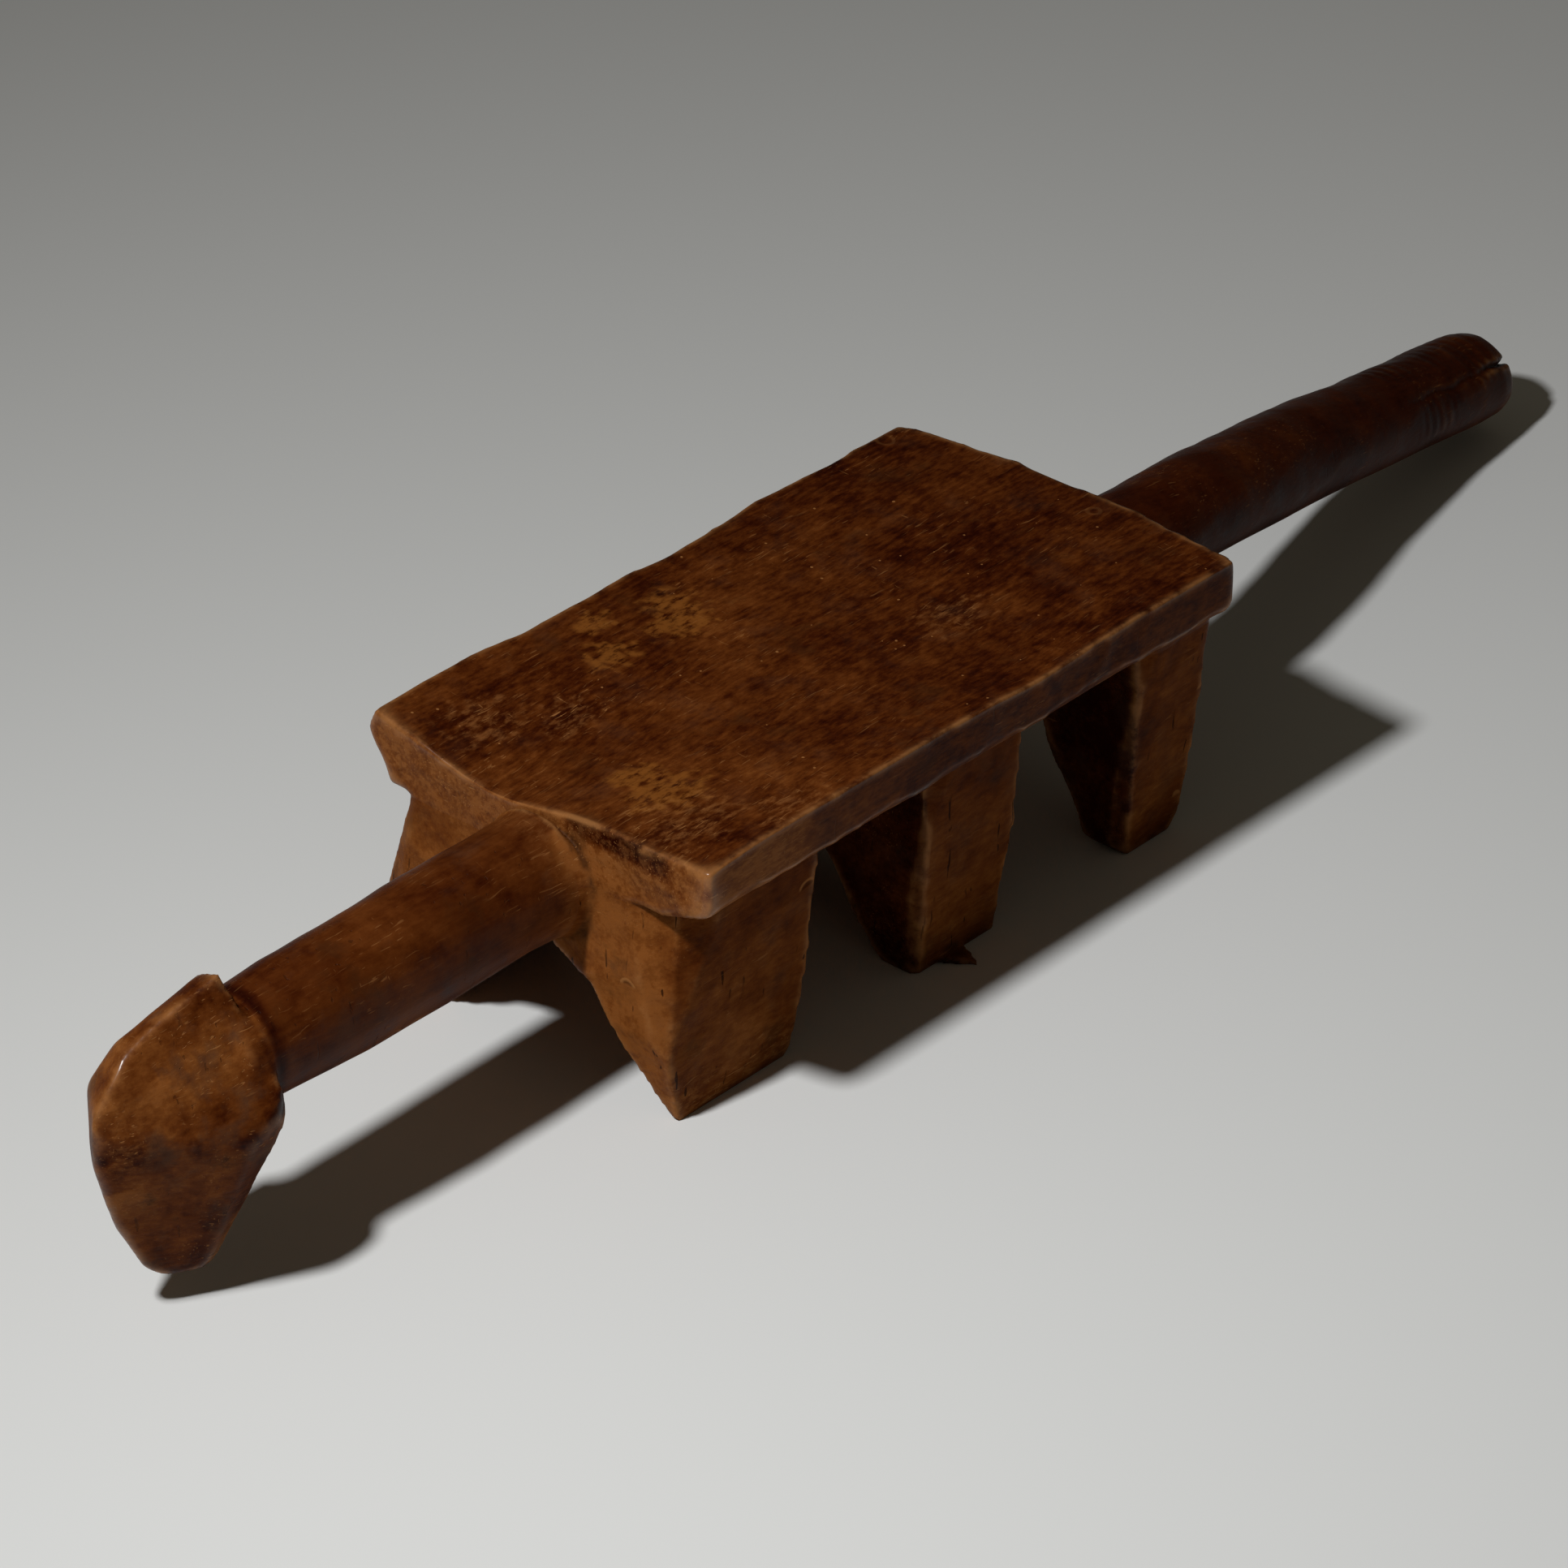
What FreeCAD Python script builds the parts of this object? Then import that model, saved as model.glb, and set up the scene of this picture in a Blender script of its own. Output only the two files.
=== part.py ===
import FreeCAD, Part
import os

# A low stool in the shape of an animal, carved from one log: a dished seat slab on three
# pairs of wedge legs, a round neck with a down-turned head in front, a long tail behind.
# The carver's block is divided at its own shoulders, and the regions meet face to face.
# X runs across, Y from head to tail, Z up. Millimetres. The seat's middle is the working
# centre, and the whole is moved at the end so that the box's bottom centre is the origin.

# seat slab
seat_length = 350.0
seat_width = 196.0
seat_height = 149.0        # top of the seat's corners above the floor
slab_edge = 22.0           # thickness at the long edges
slab_depth = 35.0          # thickness from the corners' level down to the flat underside
edge_overhang = 21.0       # how far the slab stands out over the legs
dish_depth = 5.0           # how far the seat is hollowed at its centre line
corner_radius = 9.0        # in plan
rear_bow = 8.0             # how far the rear edge bows out over the tail

# legs: adjoining legs of a pair meet on the centre line under the slab
splay = {"right": 5.0, "left": 29.0}      # how far a foot stands out past the leg's top
foot_rise = 16.0                          # height of the rounding of a foot's edges
foot_edge = 5.0                           # width of that rounding at the outer side
leg_pairs = {
    "front": {"width": 89.0, "inset_front": 12.0, "inset_rear": 13.0, "foot": 22.0,
              "bridge_depth": 36.0, "knee_out": 27.0, "knee_drop": 17.0},
    "middle": {"width": 62.0, "inset_front": 4.0, "inset_rear": 10.0, "foot": 35.0,
               "bridge_depth": 46.0, "knee_out": 15.0, "knee_drop": 22.0},
    "rear": {"width": 47.0, "inset_front": 9.0, "inset_rear": 6.0, "foot": 24.0,
             "bridge_depth": 40.0, "knee_out": 24.0, "knee_drop": 14.0},
}
middle_pair_at = 22.0      # the middle pair's centre behind the seat's centre

# neck
neck_length = 183.0
neck_drop = 41.5           # neck's axis under the level of the seat's corners
neck_half_width = 26.5
neck_half_height = 28.5
neck_root_flare = 3.0      # how much the neck widens where it leaves the seat's front
neck_throat_taper = 1.5    # how much it narrows at the head

# head
head_length = 79.5
head_half_width = 33.0
head_top_drop = 1.0        # ridge under the level of the seat's corners
head_floor_gap = 14.0      # underside above the floor
collar_height = 61.0       # height of the flat back that stands on the neck
collar_half_width = 29.5

# tail
tail_length = 419.0
tail_root_drop = 43.0      # tail's axis under the level of the seat's corners, at its root
tail_half_width = 26.5
tail_half_height = 23.5
tail_bend = 62.0           # how far the end swings to the left
tail_floor_gap = 6.0       # underside of the end above the floor
tail_end_round = 6.0       # rounding of the end

leg_height = seat_height - slab_depth
leg_top_out = seat_width / 2 - edge_overhang
neck_front = -seat_length / 2 - neck_length


def prism_along_y(points, start, end):
    """A solid with its outline in the XZ plane, from y start to y end."""
    corners = [FreeCAD.Vector(x, start, z) for x, z in points]
    face = Part.Face(Part.makePolygon(corners + corners[:1]))
    return face.extrude(FreeCAD.Vector(0, end - start, 0))


def prism_along_x(points, start, end):
    """A solid with its outline in the YZ plane, from x start to x end."""
    corners = [FreeCAD.Vector(start, y, z) for y, z in points]
    face = Part.Face(Part.makePolygon(corners + corners[:1]))
    return face.extrude(FreeCAD.Vector(end - start, 0, 0))


def arc(a, b, c):
    return Part.Arc(a, b, c).toShape()


def seat_plan(z):
    """Rounded rectangle with the rear edge bowed outwards, as a face at height z."""
    half_w, half_l, r = seat_width / 2, seat_length / 2, corner_radius
    k = r * (1 - 0.5 ** 0.5)

    def at(x, y):
        return FreeCAD.Vector(x, y, z)

    edges = [
        Part.makeLine(at(-half_w + r, -half_l), at(half_w - r, -half_l)),
        arc(at(half_w - r, -half_l), at(half_w - k, -half_l + k), at(half_w, -half_l + r)),
        Part.makeLine(at(half_w, -half_l + r), at(half_w, half_l - r)),
        arc(at(half_w, half_l - r), at(half_w - k, half_l - k), at(half_w - r, half_l)),
        arc(at(half_w - r, half_l), at(0, half_l + rear_bow), at(-half_w + r, half_l)),
        arc(at(-half_w + r, half_l), at(-half_w + k, half_l - k), at(-half_w, half_l - r)),
        Part.makeLine(at(-half_w, half_l - r), at(-half_w, -half_l + r)),
        arc(at(-half_w, -half_l + r), at(-half_w + k, -half_l + k), at(-half_w + r, -half_l)),
    ]
    return Part.Face(Part.Wire(edges))


def make_seat():
    """Slab with a hollowed top, whose underside slopes in from the long edges."""
    half_w = seat_width / 2
    slab = seat_plan(leg_height).extrude(FreeCAD.Vector(0, 0, slab_depth))
    margin = 20.0
    y0 = -seat_length / 2 - margin
    y1 = seat_length / 2 + rear_bow + margin

    radius = (half_w ** 2 + dish_depth ** 2) / (2 * dish_depth)
    centre = FreeCAD.Vector(0, y0, seat_height - dish_depth + radius)
    dish = Part.makeCylinder(radius, y1 - y0, centre, FreeCAD.Vector(0, 1, 0))
    slab = slab.cut(dish)

    for side in (-1, 1):
        under = [(side * leg_top_out, leg_height), (side * half_w, seat_height - slab_edge),
                 (side * (half_w + margin), seat_height - slab_edge),
                 (side * (half_w + margin), leg_height - margin),
                 (side * leg_top_out, leg_height - margin)]
        slab = slab.cut(prism_along_y(under, y0, y1))
    return slab


def make_leg(pair, side_name, y_front):
    """Wedge leg: its front outline and its side outline, each swept through the other."""
    side = 1 if side_name == "right" else -1
    y_rear = y_front + pair["width"]
    foot_out = leg_top_out + splay[side_name]
    apex = leg_height - pair["bridge_depth"]
    front_outline = [
        (0, leg_height), (side * leg_top_out, leg_height), (side * foot_out, foot_rise),
        (side * (foot_out - foot_edge), 0), (side * (foot_out - pair["foot"]), 0),
        (side * pair["knee_out"], apex - pair["knee_drop"]), (0, apex)]
    side_outline = [
        (y_front, leg_height), (y_front, 2 * foot_rise), (y_front + pair["inset_front"], 0),
        (y_rear - pair["inset_rear"], 0), (y_rear, foot_rise), (y_rear, leg_height)]
    across = prism_along_y(front_outline, y_front, y_rear)
    along = prism_along_x(side_outline, 0, side * foot_out)
    return across.common(along)


def ellipse(centre, half_width, half_height):
    """Closed upright ellipse that faces along Y."""
    turn = FreeCAD.Rotation(FreeCAD.Vector(1, 0, 0), 90)
    if half_width >= half_height:
        curve = Part.Ellipse(FreeCAD.Vector(), half_width, half_height).toShape()
    else:
        curve = Part.Ellipse(FreeCAD.Vector(), half_height, half_width).toShape()
        turn = turn.multiply(FreeCAD.Rotation(FreeCAD.Vector(0, 0, 1), 90))
    curve.Placement = FreeCAD.Placement(centre, turn)
    return Part.Wire(curve)


def make_neck():
    """Round neck, flared at the seat and a little narrower at the head."""
    z = seat_height - neck_drop
    stations = [(0, neck_root_flare), (0.12, 0.5), (0.45, 0), (0.8, -0.5),
                (1, -neck_throat_taper)]
    rings = [ellipse(FreeCAD.Vector(0, -seat_length / 2 - share * neck_length, z),
                     neck_half_width + extra, neck_half_height + extra)
             for share, extra in stations]
    return Part.makeLoft(rings, True, False)


def head_section(y, top, bottom, cheek, half_width, chin_half_width):
    """Eight-sided outline: ridge, shoulders, cheeks, jaws and chin."""
    shoulder = (half_width * 0.62, cheek + 0.55 * (top - cheek))
    jaw = ((half_width + chin_half_width) * 0.55, bottom + 0.35 * (cheek - bottom))
    right = [(0, top), shoulder, (half_width, cheek), jaw, (chin_half_width, bottom)]
    left = [(-x, z) for x, z in reversed(right[1:])]
    corners = [FreeCAD.Vector(x, y, z) for x, z in right + left]
    return Part.makePolygon(corners + corners[:1])


def make_head():
    """Faceted head that hangs down: a ridge on top, wide cheeks and a narrow chin."""
    axis = seat_height - neck_drop
    top = seat_height - head_top_drop
    drop = top - head_floor_gap
    back = axis + 0.5 * collar_height
    # share of the head's length, share of its height for top, chin and cheeks, and widths
    rows = [
        (0.00, None, None, None, collar_half_width, 14.0),
        (0.08, 1.00, 0.30, 0.63, head_half_width * 0.97, 12.0),
        (0.31, 0.985, 0.00, 0.60, head_half_width, 10.0),
        (0.56, 0.955, 0.03, 0.60, head_half_width * 0.95, 10.0),
        (0.84, 0.87, 0.45, 0.66, head_half_width * 0.66, 8.0),
        (1.00, 0.76, 0.62, 0.69, head_half_width * 0.30, 6.0),
    ]
    sections = []
    for along, high, low, cheek, half_width, chin in rows:
        if high is None:
            heights = (back, back - collar_height, axis)
        else:
            heights = tuple(head_floor_gap + share * drop for share in (high, low, cheek))
        y = neck_front - along * head_length
        sections.append(head_section(y, *heights, half_width, chin))
    return Part.makeLoft(sections, True, True)


def make_tail(seat):
    """Long round tail that droops and swings to the left, fitted round the seat's rear."""
    root_z = seat_height - tail_root_drop
    end_z = tail_floor_gap + tail_half_height
    # share of the length, share of the bend, share of the droop, and change of radius
    stations = [(0.0, -0.04, 0.0, 1.0), (0.2, 0.08, 0.13, 0.5), (0.45, 0.37, 0.40, 0.5),
                (0.72, 0.69, 0.69, 0.5), (1.0, 1.0, 1.0, -0.5)]
    rings = [ellipse(FreeCAD.Vector(-bend * tail_bend, seat_length / 2 + along * tail_length,
                                    root_z + droop * (end_z - root_z)),
                     tail_half_width + extra, tail_half_height + extra)
             for along, bend, droop, extra in stations]
    tail = Part.makeLoft(rings, True, False)
    y_end = seat_length / 2 + tail_length
    rim = [e for e in tail.Edges if abs(e.BoundBox.YMin - y_end) < 0.01]
    tail = tail.makeFillet(tail_end_round, rim)
    return tail.cut(seat)


def make_all():
    nodes = {"seat": make_seat()}
    starts = {
        "front": -seat_length / 2,
        "middle": middle_pair_at - leg_pairs["middle"]["width"] / 2,
        "rear": seat_length / 2 - leg_pairs["rear"]["width"],
    }
    for pair_name, y_front in starts.items():
        for side_name in splay:
            name = "leg_" + pair_name + "_" + side_name
            nodes[name] = make_leg(leg_pairs[pair_name], side_name, y_front)
    nodes["neck"] = make_neck()
    nodes["head"] = make_head()
    nodes["tail"] = make_tail(nodes["seat"])
    return nodes


nodes = make_all()
box = FreeCAD.BoundBox()
for shape in nodes.values():
    box.add(shape.optimalBoundingBox())
move = FreeCAD.Vector(-box.Center.x, -box.Center.y, -box.ZMin)
os.makedirs("parts", exist_ok=True)
for name, shape in nodes.items():
    shape.translate(move)
    solids = shape.Solids
    print(name, "valid", shape.isValid(), "solids", len(solids), "cm3", round(shape.Volume / 1000, 1))
    shape.exportStep("parts/" + name + ".step")
print("length", round(box.YLength, 1), "width", round(box.XLength, 1), "height",
      round(box.ZLength, 1), "seat centre at", [round(v, 2) for v in (move.x, move.y)])
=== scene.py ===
import math
import bpy
import numpy as np
from mathutils import Matrix, Vector, noise


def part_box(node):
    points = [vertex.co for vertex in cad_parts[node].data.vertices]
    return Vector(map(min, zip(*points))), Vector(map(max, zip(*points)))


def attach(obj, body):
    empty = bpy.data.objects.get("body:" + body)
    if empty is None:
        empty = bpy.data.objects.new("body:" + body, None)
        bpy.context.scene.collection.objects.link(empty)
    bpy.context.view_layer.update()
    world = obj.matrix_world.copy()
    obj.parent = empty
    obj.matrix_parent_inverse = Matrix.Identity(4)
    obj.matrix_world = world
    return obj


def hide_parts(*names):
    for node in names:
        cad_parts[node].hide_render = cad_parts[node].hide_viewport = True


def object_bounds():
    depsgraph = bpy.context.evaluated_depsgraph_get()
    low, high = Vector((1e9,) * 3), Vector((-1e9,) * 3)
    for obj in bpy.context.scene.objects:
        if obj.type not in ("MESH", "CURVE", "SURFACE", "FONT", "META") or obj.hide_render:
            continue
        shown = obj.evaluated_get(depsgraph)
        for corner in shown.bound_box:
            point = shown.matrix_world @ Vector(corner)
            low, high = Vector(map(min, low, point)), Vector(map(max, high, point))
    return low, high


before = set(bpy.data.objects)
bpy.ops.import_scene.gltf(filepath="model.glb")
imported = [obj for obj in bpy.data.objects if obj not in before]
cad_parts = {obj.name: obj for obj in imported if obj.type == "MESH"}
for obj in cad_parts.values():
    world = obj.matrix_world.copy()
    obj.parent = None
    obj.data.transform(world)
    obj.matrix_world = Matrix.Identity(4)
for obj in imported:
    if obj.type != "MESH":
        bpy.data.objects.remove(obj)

cadBox = [list(corner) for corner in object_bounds()]

# The stool is carved as one skin around the seat's middle, then divided into its named pieces.
# Sizes are in metres. X is across, Y from head to tail, Z up.
seatLow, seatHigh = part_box("seat")
neckLow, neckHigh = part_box("neck")
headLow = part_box("head")[0]
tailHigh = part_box("tail")[1]
half = (seatHigh.x - seatLow.x) / 2
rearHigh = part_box("leg_rear_right")[1]
middle = Vector(((seatLow.x + seatHigh.x) / 2, (neckHigh.y + rearHigh.y) / 2, 0))
seatTop = seatHigh.z
slabUnder = seatLow.z
frontFace = neckHigh.y - middle.y      # the wall that the neck leaves
rearFace = -frontFace
collar = neckLow.y - middle.y          # where the neck enters the head
noseTip = headLow.y - middle.y
tailEnd = tailHigh.y - middle.y


def report(text):
    print("stool:", text)


def pick(*pieces):
    bpy.ops.object.select_all(action="DESELECT")
    for piece in pieces:
        piece.select_set(True)
    bpy.context.view_layer.objects.active = pieces[0]


def settle(piece):
    pick(piece)
    bpy.ops.object.transform_apply(location=True, rotation=True, scale=True)


def log(name, low, high):
    # a squared log, ready for the chisel
    bpy.ops.object.select_all(action="DESELECT")
    centre = [(a + b) / 2 for a, b in zip(low, high)]
    bpy.ops.mesh.primitive_cube_add(size=1, location=centre)
    piece = bpy.context.object
    piece.name = name
    piece.scale = [b - a for a, b in zip(low, high)]
    settle(piece)
    return piece


def chisel(piece, cuts):
    # each cut takes away what lies on the side that its direction points to
    pick(piece)
    bpy.ops.object.mode_set(mode="EDIT")
    for point, direction in cuts:
        bpy.ops.mesh.select_all(action="SELECT")
        bpy.ops.mesh.bisect(plane_co=point, plane_no=direction, use_fill=True, clear_outer=True)
    bpy.ops.object.mode_set(mode="OBJECT")
    return piece


def roundBar(name, rings, corners=48):
    # a round bar along Y through rings of (y, x, z, half width, half height)
    bpy.ops.object.select_all(action="DESELECT")
    y, x, z, wide, high = rings[0]
    bpy.ops.mesh.primitive_circle_add(vertices=corners, radius=1, fill_type="NGON",
                                      location=(x, y, z), rotation=(math.pi / 2, 0, 0))
    piece = bpy.context.object
    piece.name = name
    piece.scale = (wide, high, 1)
    settle(piece)
    bpy.ops.object.mode_set(mode="EDIT")
    bpy.ops.mesh.select_all(action="SELECT")
    for (y0, x0, z0, wide0, high0), (y1, x1, z1, wide1, high1) in zip(rings, rings[1:]):
        bpy.ops.mesh.extrude_region_move(
            TRANSFORM_OT_translate={"value": (x1 - x0, y1 - y0, z1 - z0)})
        bpy.ops.transform.resize(value=(wide1 / wide0, 1, high1 / high0),
                                 center_override=(x1, y1, z1))
    bpy.ops.mesh.select_all(action="SELECT")
    bpy.ops.mesh.normals_make_consistent(inside=False)
    bpy.ops.object.mode_set(mode="OBJECT")
    return piece


# ---- seat ----
seatShape = {
    "leftBulge": 0.0065,     # how far the left edge swells out under the top
    "rearBow": 0.0100,       # the rear edge bows out over the tail
    "edgeThick": 0.0245,     # thickness at the right edge
    "dish": 0.0050,          # hollow along the middle
    "frontDip": 0.0090,      # extra hollow worn into the front edge
    "frontDipAt": -0.032,
    "waist": 0.0035,         # the left edge draws in between its corners
    "edgeWave": (0.0009, 0.0004),      # and wavers, in long and short waves
    "rightDip": 0.0024,      # a shallow dip in the right edge
    "rightDipAt": 0.045,
    "cornerDip": 0.0020,     # the front right corner is worn down
}


def seatBlock():
    s = seatShape
    left = -half - s["leftBulge"]
    top = seatTop
    block = log("seatBlock", (left, frontFace, slabUnder), (half, rearFace + s["rearBow"], top))
    cuts = [
        # right edge: sloping underside, eased lower arris
        ((half, 0, top - s["edgeThick"]), (0.36, 0, -0.93)),
        ((half, 0, top - s["edgeThick"] + 0.004), (0.86, 0, -0.5)),
        # left edge leans out, then slopes in to the legs
        ((-half, 0, top), (-0.88, 0, 0.476)),
        ((left, 0, top - 0.017), (-0.80, 0, -0.60)),
        # plan corners
        ((half - 0.0015, frontFace, 0), (0.7, -0.7, 0)),
        ((half - 0.0025, rearFace + 0.0055, 0), (0.60, 0.80, 0)),
        ((-half - 0.005, frontFace, 0), (-0.7, -0.7, 0)),
        ((-half + 0.004, rearFace + 0.002, 0), (-0.5, 0.87, 0)),
        # bowed rear edge
        ((0.045, rearFace + s["rearBow"] - 0.001, 0), (0.11, 0.99, 0)),
        ((-0.045, rearFace + s["rearBow"] - 0.001, 0), (-0.11, 0.99, 0)),
    ]
    return chisel(block, cuts)


# ---- legs ----
# from, to: along Y. knee: where the inner face bends to the arch, as x and z; apex: top of the arch.
# foot, outer: inner and outer side of the right foot. edge, ease, lean: the eased front corner.
# tipBack, heel, footIn: how the sole draws in at its front, rear and outer side.
legShape = {
    "front": {"from": -0.175, "to": -0.0835, "knee": (0.027, 0.062), "apex": 0.077,
              "foot": 0.0620, "outer": 0.0805, "edge": 0.0690, "ease": 0.030, "lean": 0.10,
              "faceLean": (-0.960, -0.280), "tipBack": 0.0125, "heel": 0.006, "footIn": 0.0005},
    "middle": {"from": -0.009, "to": 0.0540, "knee": (0.016, 0.045), "apex": 0.068,
               "foot": 0.0450, "outer": 0.0820, "edge": 0.0745, "ease": 0.013, "lean": -0.08,
               "faceLean": (-1, -0.05), "tipBack": 0.003, "heel": 0.003, "footIn": 0.0050},
    "rear": {"from": 0.130, "to": 0.1790, "knee": (0.025, 0.062), "apex": 0.076,
             "foot": 0.0530, "outer": 0.0880, "edge": 0.0795, "ease": 0.008, "lean": -0.10,
             "faceLean": (-1, -0.05), "tipBack": 0.007, "heel": 0.008, "footIn": 0.0100},
}
legJoin = 0.012           # how far a leg runs into the slab and past the centre line
legReach = 0.1055         # no leg stands further out than this
leftLeg = {"splay": 0.0250, "flare": 0.0220, "edgeOut": 0.006, "ease": 0.004}    # the left legs stand out


def legBlock(pairName, side):
    s = legShape[pairName]
    y0, y1 = s["from"], s["to"]
    footAt, outX, edgeAt, ease = s["foot"], s["outer"], s["edge"], s["ease"]
    kneeX, kneeZ = s["knee"]
    inner = Vector((kneeZ, 0, footAt - kneeX)).normalized()
    if side > 0:
        low, high = (-legJoin, y0, 0), (legReach, y1, slabUnder + legJoin)
        outer = [((outX - 0.0025, 0, 0.115), (0.995, 0, -0.10)), ((outX, 0, 0.060), (1, 0, 0)),
                 ((outX - 0.0005, 0, 0.030), (0.99, 0, -0.14)),
                 ((outX - 0.002 - s["footIn"], 0, 0.004), (0.90, 0, -0.44))]
    else:
        low, high = (-legReach, y0, 0), (legJoin, y1, slabUnder + legJoin)
        footAt += leftLeg["splay"] / 2
        outX += leftLeg["flare"]
        edgeAt += leftLeg["edgeOut"] + leftLeg["flare"]
        ease = leftLeg["ease"]
        outer = [((-0.0835, 0, 0.107), (-0.942, 0, 0.336)), ((-0.1010, 0, 0.058), (-0.995, 0, 0.10)),
                 ((-0.1050, 0, 0.014), (-0.97, 0, -0.24)), ((-0.1030, 0, 0.003), (-0.6, 0, -0.80))]
    block = log("leg_" + pairName, low, high)
    cuts = [((side * footAt, 0, 0), (-side * inner.x, 0, -inner.z))] + outer + [
        # the front face leans back, and the sole lifts at its tip, heel and inner side
        ((0, y0, 0.046), (0, *s["faceLean"])),
        ((0, y0 + s["tipBack"], 0), (0, -0.7, -0.7)),
        ((0, y1, 0.045), (0, 0.985, -0.12)),
        ((0, y1 - s["heel"], 0.003), (0, 0.75, -0.66)),
        ((side * (footAt + 0.003), 0, 0), (-side * 0.6, 0, -0.8)),
        # the corner between the front and the outer face is eased in three facets, the rear one in one
        ((side * outX, y0 + ease, 0.05), (side * 0.92, -0.38, 0.05)),
        ((side * edgeAt, y0, 0.05), (side * 0.82, -0.56, s["lean"])),
        ((side * (edgeAt - 0.007), y0, 0.05), (side * 0.50, -0.86, s["lean"])),
        ((side * outX, y1 - 0.0025, 0.05), (side * 0.75, 0.66, 0)),
    ]
    return chisel(block, cuts)


def archHalf(pairName, side):
    # the wood over the gap between a pair's legs
    s = legShape[pairName]
    kneeX, kneeZ = s["knee"]
    reach = kneeX + 0.02
    low = (min(0, side * reach), s["from"] + 0.0005, kneeZ - 0.03)
    high = (max(0, side * reach), s["to"] - 0.001, slabUnder + legJoin)
    slope = Vector((s["apex"] - kneeZ, 0, kneeX)).normalized()
    return chisel(log("arch_" + pairName, low, high),
                  [((side * kneeX, 0, kneeZ), (-side * slope.x, 0, -slope.z))])


def splinter():
    # a thin chip that stands out under the middle right foot
    tipX, tipY = 0.0835, 0.0200
    chip = log("splinter", (0.070, 0.004, 0.0), (tipX, 0.026, 0.0036))
    return chisel(chip, [((tipX, tipY, 0), (0.62, -0.78, 0)), ((tipX, tipY + 0.0005, 0), (0.30, 0.95, 0)),
                         ((tipX, tipY, 0.0010), (0.30, 0, 0.95))])


# ---- neck and tail: rings of y, x, z, half width, half height ----
neckRings = [
    (-0.160, 0.000, 0.1080, 0.0330, 0.0350),
    (-0.174, 0.000, 0.1080, 0.0300, 0.0325),
    (-0.182, 0.000, 0.1080, 0.0275, 0.0300),
    (-0.200, 0.000, 0.1080, 0.0265, 0.0290),
    (-0.250, 0.001, 0.1075, 0.0268, 0.0292),
    (-0.300, 0.001, 0.1070, 0.0266, 0.0284),
    (-0.340, 0.000, 0.1068, 0.0255, 0.0270),
    (-0.370, 0.000, 0.1068, 0.0246, 0.0258),
]
tailRings = [
    (0.160, 0.003, 0.1075, 0.0275, 0.0250),
    (0.200, 0.003, 0.1060, 0.0270, 0.0245),
    (0.250, -0.003, 0.1003, 0.0272, 0.0248),
    (0.300, -0.012, 0.0912, 0.0276, 0.0249),
    (0.340, -0.021, 0.0815, 0.0276, 0.0250),
    (0.380, -0.030, 0.0720, 0.0276, 0.0249),
    (0.425, -0.038, 0.0622, 0.0272, 0.0245),
    (0.470, -0.045, 0.0518, 0.0267, 0.0238),
    (0.510, -0.051, 0.0438, 0.0264, 0.0236),
    (0.555, -0.057, 0.0350, 0.0265, 0.0236),
    (0.580, -0.0595, 0.0310, 0.0258, 0.0232),
    (0.589, -0.0606, 0.0298, 0.0240, 0.0215),
    (0.5930, -0.0610, 0.0293, 0.0200, 0.0180),
]
# the drying crack runs along the tail, at this turn round it, and opens to a notch at the end
tailCrack = {"from": 0.470, "turn": 0.62, "deep": 0.0011, "half": 0.0016, "radius": 0.025,
             "notchFrom": 0.545, "notch": 0.0042, "wander": 0.0022, "wanderLength": 0.020}
tailRipple = {"from": 0.42, "length": 0.0075, "height": 0.00016}


# ---- head ----
def headBlock():
    # a squared block cut to a ridge on top, wide cheeks and a narrow chin; the far side is flatter on top
    block = log("headBlock", (-0.038, noseTip + 0.0005, headLow.z + 0.0003),
                (0.038, collar + 0.004, seatTop - 0.0005))
    nearSide = [
        ((0.0000, -0.3850, 0.1430), (0.845, -0.215, 0.490)),
        ((0.0000, -0.4220, 0.1270), (0.880, -0.380, 0.300)),
        ((0.0310, -0.3830, 0.0870), (0.840, -0.480, -0.240)),
        ((0.0000, -0.4345, 0.0850), (0.800, -0.580, -0.150)),
        ((0.0315, -0.3650, 0.0850), (0.930, 0.100, -0.350)),
        ((0.0310, -0.3600, 0.1000), (0.900, 0.430, 0.000)),
    ]
    farSide = [
        ((-0.0140, -0.4050, 0.1325), (-0.930, -0.050, 0.360)),
        ((-0.0310, -0.3830, 0.0870), (-0.920, -0.320, -0.210)),
        ((-0.0315, -0.3650, 0.0850), (-0.930, 0.100, -0.350)),
        ((-0.0040, -0.4335, 0.1050), (-0.620, -0.780, 0.020)),
        ((-0.0080, -0.4272, 0.0760), (-0.700, -0.700, -0.140)),
    ]
    spine = [
        ((0, -0.3720, 0.1465), (-0.420, -0.220, 0.880)),
        ((0, -0.4000, 0.1390), (-0.154, -0.403, 0.900)),
        ((0, -0.4280, 0.1203), (-0.440, -0.680, 0.585)),
        ((0, -0.4345, 0.0820), (0, -0.965, -0.262)),
        ((0, -0.4210, 0.0450), (0, -0.905, -0.425)),
        ((0, -0.4000, 0.0135), (0, -0.620, -0.780)),
        ((0, -0.3850, 0.0155), (0, 0.300, -0.950)),
        ((0, -0.3725, 0.0400), (0, 0.945, -0.330)),
        ((0, -0.3590, 0.0850), (0, 0.970, -0.240)),
        ((0, -0.3610, 0.1200), (0, 0.995, 0.100)),
    ]
    return chisel(block, nearSide + farSide + spine)


def wholeSkin():
    blocks = [seatBlock(), headBlock(), splinter(),
              roundBar("neckBar", neckRings), roundBar("tailBar", tailRings)]
    for pairName in legShape:
        for side in (1, -1):
            blocks += [legBlock(pairName, side), archHalf(pairName, side)]
    pick(*blocks)
    bpy.ops.object.join()
    skin = bpy.context.object
    skin.name = "skin"
    return skin


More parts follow.
